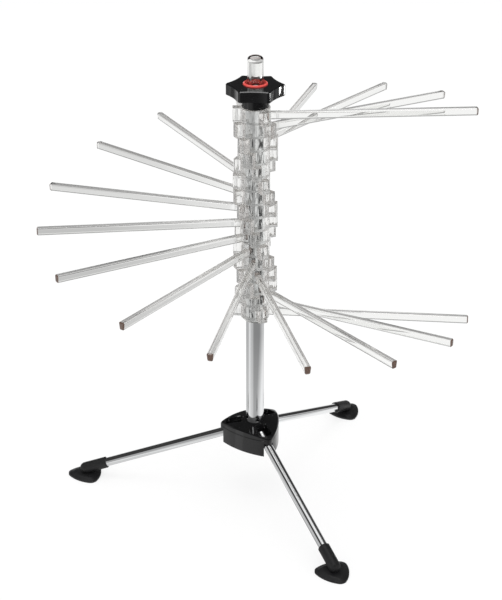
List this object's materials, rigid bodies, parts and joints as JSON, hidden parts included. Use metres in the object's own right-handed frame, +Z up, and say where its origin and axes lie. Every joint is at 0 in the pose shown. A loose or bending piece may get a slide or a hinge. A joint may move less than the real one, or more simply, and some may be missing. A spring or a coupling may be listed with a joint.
{
  "type": "pasta drying rack",
  "caption": "Standing rack for drying fresh pasta: a column on folding legs carries a stack of clear arms that swing out like a fan, clamped by a star knob, with a wand kept in the column.",
  "frame": {"origin": "on the floor below the column's axis, at the level of the feet's soles", "axes": "+Z up along the column; +X to the right and +Y away from the viewer of the picture"},
  "size_m": [0.4304, 0.4277, 0.4768],
  "materials": {
    "black_gloss": "glossy black moulded plastic",
    "chrome": "bright chrome plate",
    "steel": "zinc-plated steel",
    "black_plastic": "plain black nylon",
    "clear_plastic": "clear moulded polycarbonate",
    "red_plastic": "glossy red plastic",
    "black_rubber": "matt black rubber"
  },
  "bodies": {
    "base": {"hub_body": "black_gloss", "hub_cover": "black_gloss", "cover_screws": "steel", "pivot_pins": "steel", "column_tube": "chrome", "column_plug": "black_plastic", "column_screw": "steel", "snap_ring": "steel", "stop_collar": "clear_plastic"},
    "arm_01": {"arm_01": "clear_plastic"},
    "arm_02": {"arm_02": "clear_plastic"},
    "arm_03": {"arm_03": "clear_plastic"},
    "arm_04": {"arm_04": "clear_plastic"},
    "arm_05": {"arm_05": "clear_plastic"},
    "arm_06": {"arm_06": "clear_plastic"},
    "arm_07": {"arm_07": "clear_plastic"},
    "arm_08": {"arm_08": "clear_plastic"},
    "arm_09": {"arm_09": "clear_plastic"},
    "arm_10": {"arm_10": "clear_plastic"},
    "arm_11": {"arm_11": "clear_plastic"},
    "arm_12": {"arm_12": "clear_plastic"},
    "arm_13": {"arm_13": "clear_plastic"},
    "arm_14": {"arm_14": "clear_plastic"},
    "arm_15": {"arm_15": "clear_plastic"},
    "arm_16": {"arm_16": "clear_plastic"},
    "knob": {"knob": "black_gloss", "trim_ring": "red_plastic"},
    "wand": {"wand": "clear_plastic"},
    "leg_left": {"leg_left": "chrome", "foot_left": "black_rubber"},
    "leg_front": {"leg_front": "chrome", "foot_front": "black_rubber"},
    "leg_rear": {"leg_rear": "chrome", "foot_rear": "black_rubber"}
  },
  "joints": [
    {"name": "arm_01_swing", "type": "hinge", "parent": "base", "child": "arm_01", "pos_m": [0, 0, 0.4193], "axis": [0, 0, 1], "continuous": true},
    {"name": "arm_02_swing", "type": "hinge", "parent": "base", "child": "arm_02", "pos_m": [0, 0, 0.4053], "axis": [0, 0, 1], "continuous": true},
    {"name": "arm_03_swing", "type": "hinge", "parent": "base", "child": "arm_03", "pos_m": [0, 0, 0.3913], "axis": [0, 0, 1], "continuous": true},
    {"name": "arm_04_swing", "type": "hinge", "parent": "base", "child": "arm_04", "pos_m": [0, 0, 0.3773], "axis": [0, 0, 1], "continuous": true},
    {"name": "arm_05_swing", "type": "hinge", "parent": "base", "child": "arm_05", "pos_m": [0, 0, 0.3633], "axis": [0, 0, 1], "continuous": true},
    {"name": "arm_06_swing", "type": "hinge", "parent": "base", "child": "arm_06", "pos_m": [0, 0, 0.3493], "axis": [0, 0, 1], "continuous": true},
    {"name": "arm_07_swing", "type": "hinge", "parent": "base", "child": "arm_07", "pos_m": [0, 0, 0.3353], "axis": [0, 0, 1], "continuous": true},
    {"name": "arm_08_swing", "type": "hinge", "parent": "base", "child": "arm_08", "pos_m": [0, 0, 0.3213], "axis": [0, 0, 1], "continuous": true},
    {"name": "arm_09_swing", "type": "hinge", "parent": "base", "child": "arm_09", "pos_m": [0, 0, 0.3073], "axis": [0, 0, 1], "continuous": true},
    {"name": "arm_10_swing", "type": "hinge", "parent": "base", "child": "arm_10", "pos_m": [0, 0, 0.2933], "axis": [0, 0, 1], "continuous": true},
    {"name": "arm_11_swing", "type": "hinge", "parent": "base", "child": "arm_11", "pos_m": [0, 0, 0.2793], "axis": [0, 0, 1], "continuous": true},
    {"name": "arm_12_swing", "type": "hinge", "parent": "base", "child": "arm_12", "pos_m": [0, 0, 0.2653], "axis": [0, 0, 1], "continuous": true},
    {"name": "arm_13_swing", "type": "hinge", "parent": "base", "child": "arm_13", "pos_m": [0, 0, 0.2513], "axis": [0, 0, 1], "continuous": true},
    {"name": "arm_14_swing", "type": "hinge", "parent": "base", "child": "arm_14", "pos_m": [0, 0, 0.2373], "axis": [0, 0, 1], "continuous": true},
    {"name": "arm_15_swing", "type": "hinge", "parent": "base", "child": "arm_15", "pos_m": [0, 0, 0.2233], "axis": [0, 0, 1], "continuous": true},
    {"name": "arm_16_swing", "type": "hinge", "parent": "base", "child": "arm_16", "pos_m": [0, 0, 0.2093], "axis": [0, 0, 1], "continuous": true},
    {"name": "knob_turn", "type": "hinge", "parent": "base", "child": "knob", "pos_m": [0, 0, 0.4383], "axis": [0, 0, 1], "continuous": true},
    {"name": "wand_lift", "type": "slide", "parent": "base", "child": "wand", "axis": [0, 0, 1], "range_m": [0, 0.375]},
    {"name": "leg_left_fold", "type": "hinge", "parent": "base", "child": "leg_left", "pos_m": [-0.02291, 0.00198, 0.0658], "axis": [-0.0863, -0.9963, 0], "range_deg": [0, 70]},
    {"name": "leg_front_fold", "type": "hinge", "parent": "base", "child": "leg_front", "pos_m": [0.00974, -0.02084, 0.0658], "axis": [0.9059, 0.4234, 0], "range_deg": [0, 70]},
    {"name": "leg_rear_fold", "type": "hinge", "parent": "base", "child": "leg_rear", "pos_m": [0.01318, 0.01885, 0.0658], "axis": [-0.8197, 0.5729, 0], "range_deg": [0, 70]}
  ]
}
